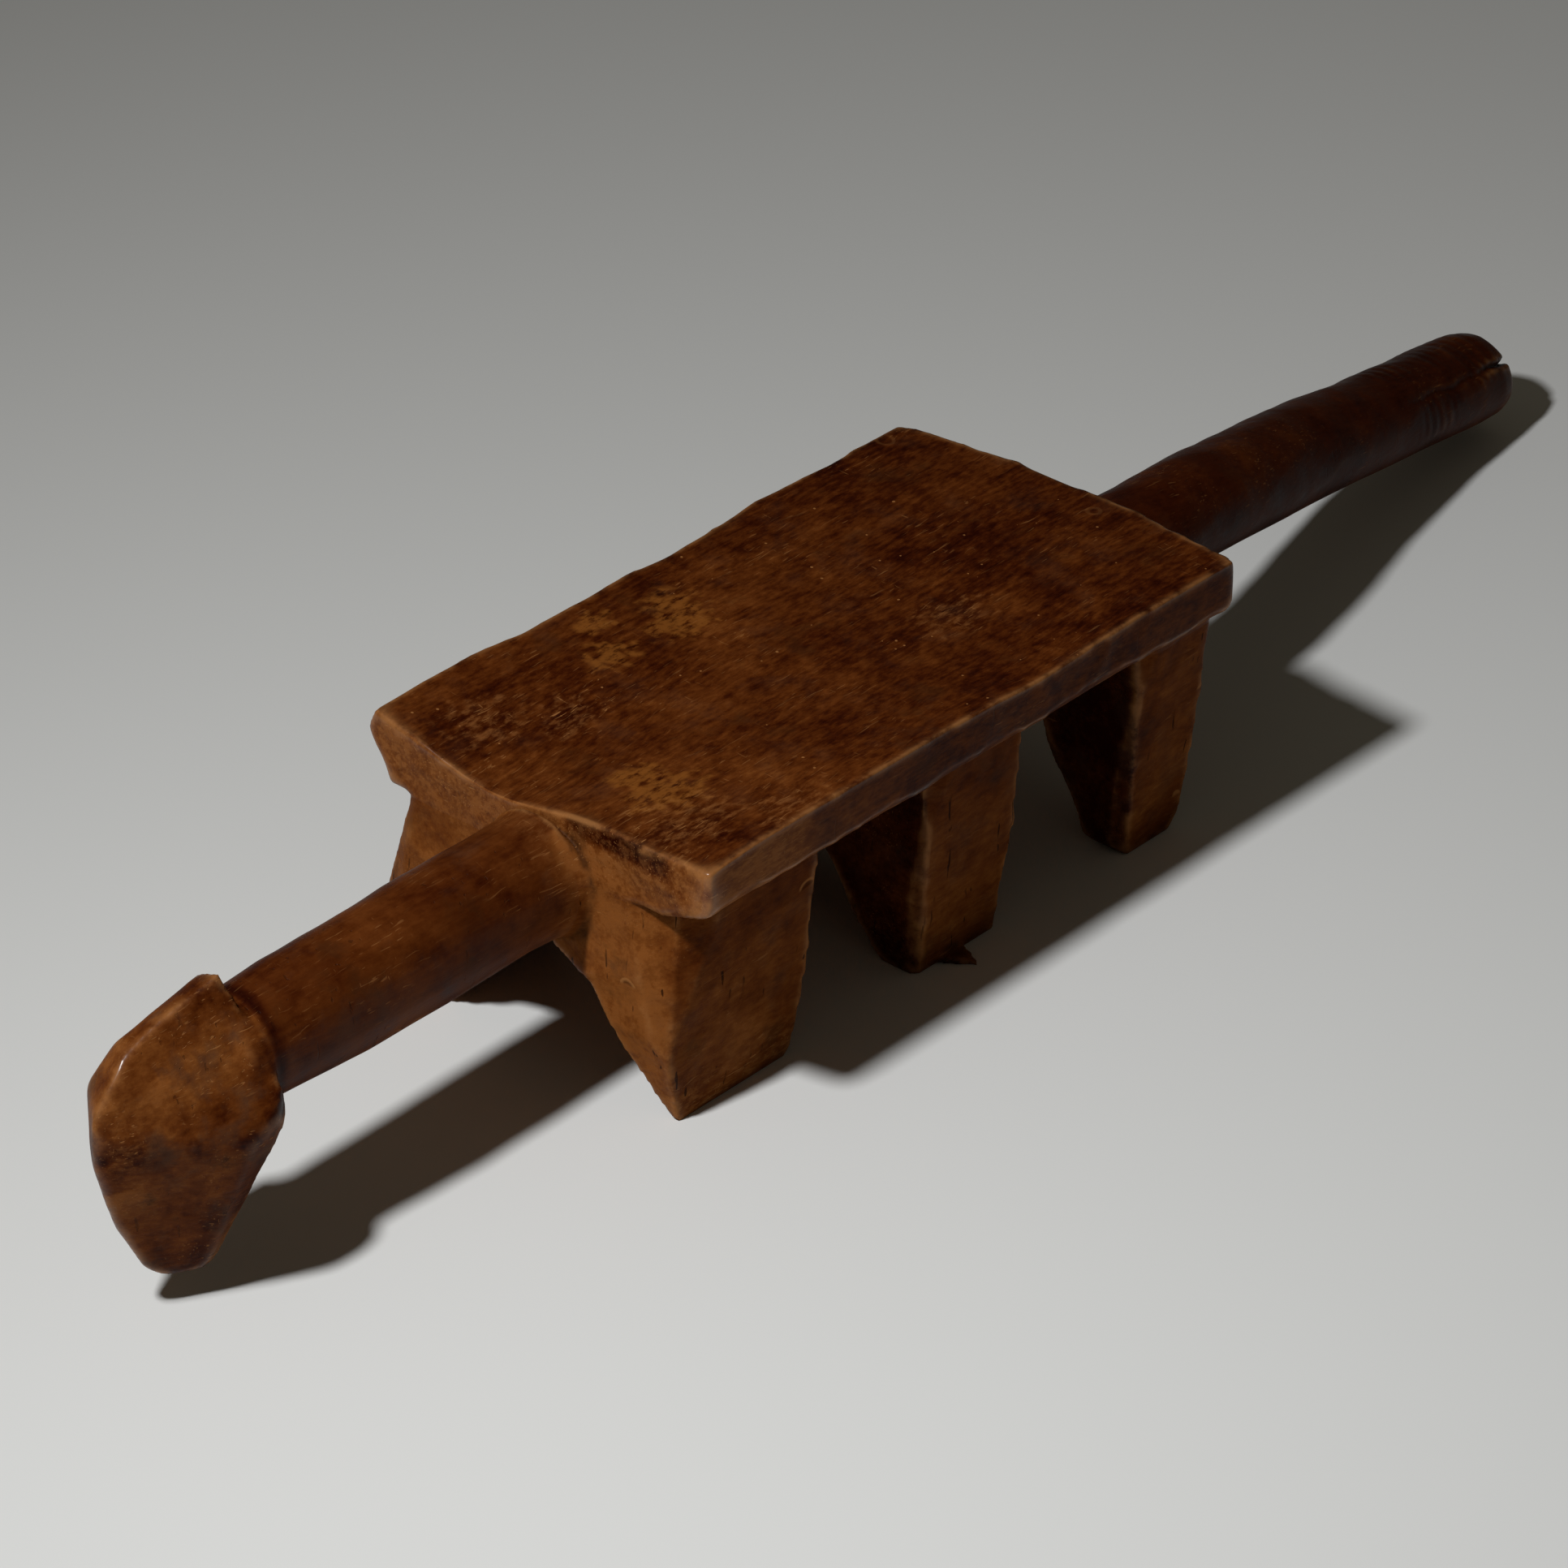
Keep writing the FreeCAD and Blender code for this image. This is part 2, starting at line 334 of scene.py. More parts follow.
skinFinish = {"voxel": 0.0015, "easing": 4, "quickVoxel": 0.003, "quickEasing": 2}


def fuse(skin):
    pick(skin)
    remesh = skin.modifiers.new("fuse", "REMESH")
    remesh.mode = "VOXEL"
    remesh.voxel_size = skinFinish["voxel"]
    bpy.ops.object.modifier_apply(modifier=remesh.name)
    ease = skin.modifiers.new("ease", "SMOOTH")
    ease.factor = 0.5
    ease.iterations = skinFinish["easing"]
    bpy.ops.object.modifier_apply(modifier=ease.name)


# ---- carving the surface ----
carving = {
    "roll": 0.0010, "rollLength": 0.060,          # the slow roll of hand work
    "lump": 0.00035, "lumpLength": 0.018,
    "adze": 0.0014, "adzeStroke": 0.024,          # scallops on walls and legs
    "barFacet": 0.0009, "barStroke": (0.017, 0.055, 0.017),     # longer strokes on the neck and tail
    "warp": 0.004, "warpLength": 0.030,           # strokes don't follow a grid
    "headEase": 0.9, "cornerEase": 0.8,           # the most handled parts are the roundest
}


def ramp(low, high, value):
    # eases from 0 at low to 1 at high, either way round
    t = np.clip((value - low) / (high - low), 0, 1)
    return t * t * (3 - 2 * t)


def bump(centre, width, value):
    return np.exp(-((value - centre) / width) ** 2)


def noiseAt(places):
    return np.array([noise.noise(place) for place in places])


def scallops(places):
    # bowls whose rims are the borders between strokes
    nearest = np.array([noise.voronoi(place)[0][0] for place in places])
    return nearest ** 2 - 0.25


def tailAxis(y):
    rings = np.array(tailRings)
    return np.interp(y, rings[:, 0], rings[:, 1]), np.interp(y, rings[:, 0], rings[:, 2])


def readMesh(piece):
    count = len(piece.data.vertices)
    places = np.empty(count * 3)
    normals = np.empty(count * 3)
    piece.data.vertices.foreach_get("co", places)
    piece.data.vertices.foreach_get("normal", normals)
    return places.reshape(-1, 3), normals.reshape(-1, 3)


def writeMesh(piece, places):
    piece.data.vertices.foreach_set("co", places.ravel())
    piece.data.update()


def skinEdges(skin):
    edges = np.empty(len(skin.data.edges) * 2, int)
    skin.data.edges.foreach_get("vertices", edges)
    return edges.reshape(-1, 2)


def neighbourMean(values, edges, passes):
    count = np.bincount(edges.ravel(), minlength=len(values)).astype(float)
    for _ in range(passes):
        total = np.empty_like(values)
        for axis in range(3):
            column = values[:, axis]
            total[:, axis] = (np.bincount(edges[:, 0], column[edges[:, 1]], len(values))
                              + np.bincount(edges[:, 1], column[edges[:, 0]], len(values)))
        values = 0.5 * values + 0.5 * total / count[:, None]
    return values


def shapeSeat(places):
    # hollow the seat and wave its edges; the slab's underside stays
    s = seatShape
    x, y, z = places.T
    onSlab = ramp(frontFace - 0.004, frontFace + 0.001, y) * (1 - ramp(rearFace + 0.012, rearFace + 0.02, y))
    lifted = ramp(seatTop - 0.034, seatTop - 0.006, z) * onSlab
    rearFade = 1 - 0.95 * ramp(0.05, rearFace - 0.01, y)
    hollow = s["dish"] * np.clip(1 - (x / half) ** 2, 0, 1) * rearFade
    hollow += s["frontDip"] * bump(s["frontDipAt"], 0.040, x) * bump(frontFace, 0.085, y)
    rightSide = ramp(0.03, 0.09, x)
    dips = s["rightDip"] * bump(s["rightDipAt"], 0.035, y) + s["cornerDip"] * bump(frontFace, 0.022, y)
    hollow += rightSide * dips
    places[:, 2] -= hollow * lifted
    corners = ramp(0.02, 0.12, np.abs(y + 0.02))
    leftSide = ramp(-0.075, -0.092, x) * ramp(seatTop - 0.020, seatTop - 0.008, z) * onSlab
    places[:, 0] -= s["waist"] * corners * leftSide
    longWave, shortWave = s["edgeWave"]
    wave = longWave * np.sin(y / 0.017) + shortWave * np.sin(y / 0.0071 + 1)
    places[:, 0] += wave * leftSide * ramp(0.16, 0.12, np.abs(y))


def easeHandled(places, edges):
    # the head and the seat's front corners are rounded by handling
    eased = neighbourMean(places, edges, 16)
    x, y, z = places.T
    corner = bump(half, 0.020, np.abs(x)) * bump(frontFace, 0.016, y) * ramp(slabUnder, slabUnder + 0.01, z)
    onHead = ramp(collar + 0.001, collar - 0.012, y)
    soft = np.clip(carving["headEase"] * onHead + carving["cornerEase"] * corner, 0, 1)
    places += (eased - places) * soft[:, None]


def toolMarks(places, normals):
    # how far the tools leave the surface out or in, before the tail's own marks
    c = carving
    y, z = places[:, 1], places[:, 2]
    onHead = ramp(collar + 0.001, collar - 0.001, y)
    onNeck = ramp(frontFace - 0.001, frontFace - 0.012, y) * (1 - onHead)
    onTail = ramp(rearFace + 0.011, rearFace + 0.020, y)
    onTop = ramp(0.80, 0.95, normals[:, 2]) * ramp(seatTop - 0.020, seatTop - 0.012, z) * (1 - onNeck)
    onTop *= (1 - onTail) * (1 - onHead)
    onBar = np.clip(onNeck + onTail, 0, 1)
    walls = (1 - onBar) * (1 - onTop)
    move = c["roll"] * noiseAt(places / c["rollLength"] + 3.1) * (1 - 0.6 * onTop)
    move += c["lump"] * noiseAt(places / c["lumpLength"] + 7.7) * (1 - 0.7 * onTop)
    sway = np.stack([noiseAt(places / c["warpLength"] + k) for k in (11.3, 23.9, 37.1)], axis=1)
    warped = places + c["warp"] * sway
    move += c["adze"] * scallops(warped / c["adzeStroke"]) * walls * (1 - 0.45 * onHead)
    move += 0.45 * c["adze"] * scallops(warped / (c["adzeStroke"] * 0.45)) * walls * (1 - 0.8 * onHead)
    move += c["barFacet"] * scallops(warped / np.array(c["barStroke"]) + 5.0) * onBar
    return move, onTail


def tailMarks(places):
    # crosswise ripples near the end, and the drying crack
    r, k = tailRipple, tailCrack
    x, y, z = places.T
    axisX, axisZ = tailAxis(y)
    turn = np.arctan2(z - axisZ, x - axisX)
    ripple = np.sin(2 * math.pi * (y + 0.002 * noiseAt(places / 0.02 + 51)) / r["length"])
    patchy = ramp(0.0, 0.5, noiseAt(places / 0.035 + 61))
    move = r["height"] * ripple * patchy * ramp(r["from"], r["from"] + 0.05, y)
    wander = k["wander"] * noiseAt(np.stack([y / k["wanderLength"], y * 0, y * 0], axis=1) + 71)
    offLine = k["radius"] * (turn - k["turn"]) + wander
    notch = k["notch"] * ramp(k["notchFrom"], tailEnd, y) ** 2
    deep = notch + k["deep"] * ramp(k["from"], k["from"] + 0.04, y)
    return move - deep * np.exp(-(offLine / k["half"]) ** 2)


def roughOut(skin):
    places = readMesh(skin)[0]
    shapeSeat(places)
    easeHandled(places, skinEdges(skin))
    writeMesh(skin, places)
    places, normals = readMesh(skin)
    move, onTail = toolMarks(places, normals)
    move += tailMarks(places) * onTail
    soles = ramp(0.004, 0.016, places[:, 2])           # soles stay flat
    under = ramp(-0.8, -0.6, normals[:, 2])            # so does the slab's underside
    places += normals * (move * soles * under)[:, None]
    keepInside(places)
    writeMesh(skin, places)


def keepInside(places):
    margin = 0.0002
    low = np.array(cadBox[0]) - np.array(middle) + margin
    high = np.array(cadBox[1]) - np.array(middle) - margin
    low[2] = 0.0
    np.clip(places, low, high, out=places)


# ---- what the surface has been through, and some painted shade, kept as point attributes ----
# how light the wood of each place is; the later legs' front faces get painted shade
toneOf = {"top": 0.39, "side": 0.48, "sideFront": 1.12, "wall": 0.92, "leg": 0.64, "paintedShade": 0.14,
          "neck": 0.42, "neckRoot": 0.72, "head": 0.46, "tail": 0.13}

# worn places on the seat: x, y and size
tanPatches = [(-0.056, -0.025, 0.012), (-0.070, -0.018, 0.010), (-0.059, -0.067, 0.009),
              (-0.082, -0.054, 0.007), (0.036, -0.135, 0.014), (0.016, -0.134, 0.009)]
paleScuffs = [(0.090, -0.112, 0.016), (-0.064, -0.142, 0.015), (-0.042, -0.113, 0.012),
              (0.060, -0.150, 0.020), (0.030, 0.060, 0.014)]


def spots(x, y, ragged, centres):
    amount = np.zeros(len(x))
    for spotX, spotY, size in centres:
        away = np.hypot(x - spotX, (y - spotY) * 0.8) / size
        amount = np.maximum(amount, ramp(1.2, 0.6, away + ragged))
    return amount


def keepAttribute(piece, name, values):
    attribute = piece.data.attributes.new(name, "FLOAT", "POINT")
    attribute.data.foreach_set("value", values.astype(np.float32))


def markUse(skin):
    places, normals = readMesh(skin)
    x, y, z = places.T
    edges = skinEdges(skin)
    finePasses, widePasses = ((10, 60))
    fine = neighbourMean(places, edges, finePasses)
    wide = neighbourMean(fine, edges, widePasses)
    outFine = ((places - fine) * normals).sum(axis=1)
    outWide = ((places - wide) * normals).sum(axis=1)
    wear = ramp(0.00012, 0.00055, outFine) * 0.6 + ramp(0.0006, 0.0022, outWide) * 0.6
    hollow = ramp(0.0005, 0.0022, -outWide) + 0.6 * ramp(0.00012, 0.0005, -outFine)
    slabCorner = bump(0.096, 0.007, x) * bump(frontFace, 0.008, y) * bump(0.133, 0.006, z)
    keepAttribute(skin, "wear", np.clip(wear + slabCorner, 0, 1))
    keepAttribute(skin, "hollow", np.clip(hollow, 0, 1))
    headSide = ramp(collar + 0.003, collar - 0.003, y)
    neckSide = ramp(frontFace - 0.002, frontFace - 0.014, y) * (1 - headSide)
    tailSide = ramp(rearFace + 0.004, rearFace + 0.016, y)
    slabSide = ramp(slabUnder + 0.004, slabUnder + 0.012, z)
    faceFront = ramp(0.35, 0.75, -normals[:, 1])
    top = ramp(0.72, 0.90, normals[:, 2]) * ramp(seatTop - 0.024, seatTop - 0.016, z)
    side = toneOf["side"] + (toneOf["sideFront"] - toneOf["side"]) * ramp(-0.100, -0.140, y)
    seat = side * (1 - faceFront) + toneOf["wall"] * faceFront
    behind = ramp(-0.100, -0.070, y)          # painted shade: the later legs' front faces, which stand in shadow, are darker
    legFront = toneOf["wall"] * (1 - behind) + toneOf["paintedShade"] * behind
    leg = toneOf["leg"] * (1 - faceFront) + legFront * faceFront
    body = seat * slabSide + leg * (1 - slabSide)
    edgeStain = ramp(0.010, 0.018, x) * ramp(0.080, 0.070, x) * ramp(seatTop - 0.018, seatTop - 0.012, z)
    body -= 0.75 * edgeStain * faceFront
    body = body * (1 - top) + (toneOf["top"] - 0.10 * ramp(-0.1, 0.15, y)) * top
    body = body * (1 - neckSide) + toneOf["neck"] * neckSide
    body += (toneOf["neckRoot"] - toneOf["neck"]) * bump(frontFace - 0.006, 0.007, y) * neckSide
    # painted shade: a dark line on the neck just under the head's overhanging lip
    body -= 0.40 * bump(collar + 0.003, 0.004, y) * neckSide
    crease = 0.090 + 0.004 * noiseAt(places / 0.012 + 83)
    glow = bump(0.110, 0.018, z) * bump(-0.400, 0.022, y)          # a lighter patch across the brow
    head = toneOf["head"] + 0.22 * glow + 0.06 * ramp(0.0, -0.01, z - crease)
    # painted shade: a broken dark band along the head's crease, where the brow folds down to the lower face
    head -= 0.28 * bump(crease, 0.008, z) * ramp(0.35, 0.60, 0.5 + noiseAt(places / 0.010 + 97))
    # painted shade: the head's faces turned to the right, away from the light, are darker
    head -= 0.22 * ramp(0.80, 0.95, normals[:, 0])
    body = body * (1 - headSide) + head * headSide
    body = body * (1 - tailSide) + toneOf["tail"] * tailSide
    keepAttribute(skin, "tone", np.clip(body, 0, 1))
    seatArea = (1 - neckSide) * (1 - headSide) * (1 - tailSide)
    keepAttribute(skin, "topFace", top * seatArea)
    ragged = 0.9 * noiseAt(places / 0.005 + 91) + 0.4 * noiseAt(places / 0.0022 + 17)
    keepAttribute(skin, "patch", spots(x, y, ragged, tanPatches) * top * seatArea)
    frontFeet = ramp(0.030, 0.004, z) * ramp(0.05, -0.10, y) * (1 - headSide)
    muzzle = 0.8 * bump(-0.426, 0.008, y) * bump(0.095, 0.013, z) * ramp(-0.005, 0.005, x)
    neckRoot = bump(frontFace - 0.005, 0.009, y) * neckSide
    frontEdge = 0.5 * faceFront * slabSide * seatArea
    sideEdge = 0.7 * ramp(-0.095, -0.130, y) * ramp(0.6, 0.9, normals[:, 0]) * slabSide * seatArea
    scuff = np.maximum.reduce([frontFeet, muzzle, neckRoot, frontEdge, sideEdge])
    scuff += 0.8 * spots(x, y, ragged, paleScuffs) * top * seatArea
    keepAttribute(skin, "scuff", np.clip(scuff, 0, 1))


# ---- dividing the skin into its named pieces ----
divide = {"front": frontFace - 0.006, "shelf": slabUnder - 0.0016, "rear": rearFace + 0.0125,
          "frontGap": -0.045, "rearGap": 0.090}


def pieceCuts():
    d = divide
    front, rear, shelf = d["front"], d["rear"], d["shelf"]
    cuts = {
        "carvedHead": ("head", "head_wood", [((0, collar, 0), (0, 1, 0))]),
        "carvedNeck": ("neck", "neck_wood", [((0, collar, 0), (0, -1, 0)), ((0, front, 0), (0, 1, 0))]),
        "carvedTail": ("tail", "tail_wood", [((0, rear, 0), (0, -1, 0))]),
        "carvedSeat": ("seat", "seat_wood", [((0, front, 0), (0, -1, 0)), ((0, rear, 0), (0, 1, 0)),
                                             ((0, 0, shelf), (0, 0, -1))]),
    }
    spans = {"front": (front, d["frontGap"]), "middle": (d["frontGap"], d["rearGap"]),
             "rear": (d["rearGap"], rear)}
    for pairName, (y0, y1) in spans.items():
        for sideName, side in (("right", 1), ("left", -1)):
            cuts["carvedLeg_%s_%s" % (pairName, sideName)] = (
                "leg_%s_%s" % (pairName, sideName), "leg_wood",
                [((0, 0, shelf), (0, 0, 1)), ((0, y0, 0), (0, -1, 0)), ((0, y1, 0), (0, 1, 0)),
                 ((0, 0, 0), (-side, 0, 0))])
    return cuts


def dividePieces(skin):
    pieces = []
    for name, (node, slot, cuts) in pieceCuts().items():
        pick(skin)
        bpy.ops.object.duplicate()
        piece = bpy.context.object
        piece.name = name
        chisel(piece, cuts)
        carry = piece.modifiers.new("skinNormals", "DATA_TRANSFER")
        carry.object = skin
        carry.use_loop_data = True
        carry.data_types_loops = {"CUSTOM_NORMAL"}
        carry.loop_mapping = "POLYINTERP_NEAREST"
        carry.max_distance = 0.0004
        carry.use_max_distance = True
        bpy.ops.object.modifier_apply(modifier=carry.name)
        pieces.append((piece, node, slot))
    return pieces


report("carving the blocks")
skin = wholeSkin()
fuse(skin)
report("cutting the surface")
roughOut(skin)
pick(skin)
bpy.ops.object.shade_smooth()
markUse(skin)
report("skin has %d faces" % len(skin.data.polygons))


# ---- shader helpers ----
def feed(tree, socket, value):
    if isinstance(value, bpy.types.NodeSocket):
        tree.links.new(value, socket)
    else:
        socket.default_value = value


def maths(tree, operation, a, b=0.0, clamp=False):
    node = tree.nodes.new("ShaderNodeMath")
    node.operation = operation
    node.use_clamp = clamp
    feed(tree, node.inputs[0], a)
    feed(tree, node.inputs[1], b)
    return node.outputs[0]


def times(tree, *values):
    result = values[0]
    for value in values[1:]:
        result = maths(tree, "MULTIPLY", result, value)
    return result


def plus(tree, *values):
    result = values[0]
    for value in values[1:]:
        result = maths(tree, "ADD", result, value)
    return result


def centred(tree, value, amount):
    return times(tree, maths(tree, "SUBTRACT", value, 0.5), amount)


def band(tree, value, low, high):
    node = tree.nodes.new("ShaderNodeMapRange")
    node.interpolation_type = "SMOOTHSTEP"
    feed(tree, node.inputs["Value"], value)
    node.inputs["From Min"].default_value = low
    node.inputs["From Max"].default_value = high
    return node.outputs["Result"]


def tint(tree, mask, under, over):
    node = tree.nodes.new("ShaderNodeMix")
    node.data_type = "RGBA"
    node.clamp_factor = True
    feed(tree, node.inputs["Factor"], mask)
    feed(tree, node.inputs["A"], under)
    feed(tree, node.inputs["B"], over)
    return node.outputs["Result"]


def turned(tree, place, scale, turn=(0, 0, 0)):
    node = tree.nodes.new("ShaderNodeMapping")
    feed(tree, node.inputs["Vector"], place)
    node.inputs["Scale"].default_value = scale
    node.inputs["Rotation"].default_value = turn
    return node.outputs["Vector"]


def cloud(tree, place, scale, detail, rough):
    node = tree.nodes.new("ShaderNodeTexNoise")
    feed(tree, node.inputs["Vector"], place)
    node.inputs["Scale"].default_value = scale
    node.inputs["Detail"].default_value = detail
    node.inputs["Roughness"].default_value = rough
    return node.outputs["Fac"]


def bent(tree, place, scale, amount):
    # the place pushed about by slow noise, so that straight marks bend
    sway = tree.nodes.new("ShaderNodeTexNoise")
    feed(tree, sway.inputs["Vector"], place)
    sway.inputs["Scale"].default_value = scale
    node = tree.nodes.new("ShaderNodeVectorMath")
    node.operation = "MULTIPLY_ADD"
    feed(tree, node.inputs[0], sway.outputs["Color"])
    node.inputs[1].default_value = (amount, amount, amount)
    feed(tree, node.inputs[2], place)
    return node.outputs["Vector"]


def cells(tree, place, scale):
    node = tree.nodes.new("ShaderNodeTexVoronoi")
    feed(tree, node.inputs["Vector"], place)
    node.inputs["Scale"].default_value = scale
    return node.outputs


def kept(tree, name):
    node = tree.nodes.new("ShaderNodeAttribute")
    node.attribute_name = name
    return node.outputs["Fac"]


def parts(tree, vector):
    node = tree.nodes.new("ShaderNodeSeparateXYZ")
    feed(tree, node.inputs[0], vector)
    return node.outputs


def objectPlace(tree):
    return tree.nodes.new("ShaderNodeTexCoord").outputs["Object"]


def newGroup(name, inputs, outputs):
    tree = bpy.data.node_groups.new(name, "ShaderNodeTree")
    for label, value in inputs.items():
        tree.interface.new_socket(label, in_out="INPUT", socket_type="NodeSocketFloat").default_value = value
    for label, kind in outputs.items():
        tree.interface.new_socket(label, in_out="OUTPUT", socket_type="NodeSocket" + kind)
    return tree, tree.nodes.new("NodeGroupInput").outputs, tree.nodes.new("NodeGroupOutput").inputs


# ---- the wood itself: colour by tone, blotches, flakes and streaks along the log ----
woodColours = [
    (0.00, (0.020, 0.0024, 0.0004)), (0.22, (0.044, 0.0075, 0.0010)),
    (0.42, (0.078, 0.0175, 0.0025)), (0.62, (0.114, 0.0290, 0.0048)),
    (0.85, (0.165, 0.0490, 0.0092)), (1.00, (0.215, 0.0700, 0.0150))]
patchColour = (0.250, 0.085, 0.014, 1)
wornColour = (0.34, 0.145, 0.045, 1)
darkColour = (0.016, 0.0050, 0.0022, 1)
soilColour = (0.062, 0.032, 0.019, 1)


def oiledWood():
    tree, given, out = newGroup("oiledWood", {"blotch": 0.3, "flake": 0.3, "streak": 0.2, "stain": 0.4,
                                              "rub": 0.5, "soil": 0.2},
                                {"Color": "Color", "Rough": "Float", "Height": "Float"})
    place = objectPlace(tree)
    broad = cloud(tree, place, 13, 3, 0.5)
    mottle = cloud(tree, place, 60, 5, 0.62)
    flake = cloud(tree, turned(tree, place, (330, 120, 330)), 1, 5, 0.68)
    streak = cloud(tree, turned(tree, place, (460, 11, 460)), 1, 3, 0.55)
    level = plus(tree, kept(tree, "tone"), centred(tree, broad, given["blotch"]),
                 centred(tree, mottle, given["blotch"]), centred(tree, flake, given["flake"]),
                 centred(tree, streak, given["streak"]))
    ramped = tree.nodes.new("ShaderNodeValToRGB")
    stops = ramped.color_ramp.elements
    for index, (at, colour) in enumerate(woodColours):
        stop = stops[index] if index < 2 else stops.new(at)
        stop.position = at
        stop.color = colour + (1,)
    feed(tree, ramped.inputs[0], level)
    stainMask = times(tree, band(tree, cloud(tree, place, 30, 6, 0.66), 0.55, 0.70), given["stain"])
    colour = tint(tree, stainMask, ramped.outputs[0], darkColour)
    hollowMask = times(tree, kept(tree, "hollow"), band(tree, mottle, 0.25, 0.6), 0.75)
    colour = tint(tree, hollowMask, colour, darkColour)
    soilMask = times(tree, band(tree, cloud(tree, place, 42, 4, 0.6), 0.50, 0.70), given["soil"])
    colour = tint(tree, soilMask, colour, soilColour)
    patchMask = times(tree, kept(tree, "patch"), band(tree, flake, 0.34, 0.54), 0.60)
    colour = tint(tree, patchMask, colour, patchColour)
    worn = times(tree, kept(tree, "wear"), band(tree, mottle, 0.34, 0.62))
    scuffed = times(tree, kept(tree, "scuff"), band(tree, flake, 0.44, 0.64), 0.45)
    rubMask = times(tree, maths(tree, "MAXIMUM", worn, scuffed), given["rub"])
    colour = tint(tree, rubMask, colour, wornColour)
    feed(tree, out["Color"], colour)
    rough = plus(tree, 0.44, centred(tree, mottle, 0.30), centred(tree, flake, 0.25),
                 times(tree, stainMask, -0.10), times(tree, rubMask, 0.12))
    feed(tree, out["Rough"], rough)
    height = plus(tree, times(tree, flake, 0.30), times(tree, streak, 0.22), times(tree, mottle, 0.55),
                  times(tree, stainMask, -0.12))
    feed(tree, out["Height"], height)
    return tree


# ---- marks of use: short scratches, bright specks, crescent nicks, drying cracks ----
# scratches along, across and aslant: scale, turn and how rare
strokeKinds = [((900, 36, 900), (0, 0, 0.10), 0.660), ((90, 900, 400), (0, 0, 0.35), 0.715),
               ((1000, 70, 700), (0.6, 0, 0.75), 0.690)]
nick = {"density": 34, "radius": 0.17, "rare": 0.86}


def useMarks():
    tree, given, out = newGroup("useMarks", {"scratches": 0.3, "specks": 0.0, "nicks": 0.0, "cracks": 0.0},
                                {"Light": "Float", "Dark": "Float", "Height": "Float"})
    place = bent(tree, objectPlace(tree), 40, 0.006)
    strokes = 0.0
    for scale, turn, low in strokeKinds:
        grown = cloud(tree, turned(tree, place, scale, turn), 1, 1.5, 0.5)
        strokes = maths(tree, "MAXIMUM", band(tree, grown, low, low + 0.05), strokes)
    where = maths(tree, "ADD", band(tree, cloud(tree, place, 26, 3, 0.6), 0.42, 0.64),
                  times(tree, kept(tree, "scuff"), 1.6))
    scratch = times(tree, strokes, where, given["scratches"])
    dots = cells(tree, place, 210)
    chosen = parts(tree, dots["Color"])
    dot = times(tree, maths(tree, "LESS_THAN", dots["Distance"], times(tree, chosen[1], 0.15)),
                maths(tree, "GREATER_THAN", chosen[0], 0.86), kept(tree, "topFace"), given["specks"])
    spread = turned(tree, place, (nick["density"],) * 3)
    bits = cells(tree, spread, 1)
    offset = tree.nodes.new("ShaderNodeVectorMath")
    offset.operation = "SUBTRACT"
    feed(tree, offset.inputs[0], spread)
    feed(tree, offset.inputs[1], bits["Position"])
    upper = band(tree, parts(tree, offset.outputs[0])[2], 0.02, 0.09)
    here = maths(tree, "GREATER_THAN", parts(tree, bits["Color"])[0], nick["rare"])
    ring = maths(tree, "ABSOLUTE", maths(tree, "SUBTRACT", bits["Distance"], nick["radius"]))
    arcShape = times(tree, band(tree, ring, 0.035, 0.012), upper, here, given["nicks"])
    inside = times(tree, band(tree, bits["Distance"], nick["radius"], 0.12), upper, here, given["nicks"])
    split = cloud(tree, turned(tree, place, (300, 300, 34), (0.65, 0.55, 0.0)), 1, 2, 0.5)
    crackArea = band(tree, cloud(tree, place, 24, 2, 0.5), 0.44, 0.56)
    crack = times(tree, band(tree, split, 0.680, 0.715), crackArea, given["cracks"])
    feed(tree, out["Light"], maths(tree, "ADD", maths(tree, "ADD", scratch, dot), arcShape, clamp=True))
    feed(tree, out["Dark"], maths(tree, "ADD", crack, times(tree, inside, 0.5), clamp=True))
    feed(tree, out["Height"], plus(tree, times(tree, crack, -1.6), times(tree, inside, -0.8),
                                   times(tree, scratch, -0.25), times(tree, dot, 0.4)))
    return tree


woodGroup = oiledWood()
markGroup = useMarks()
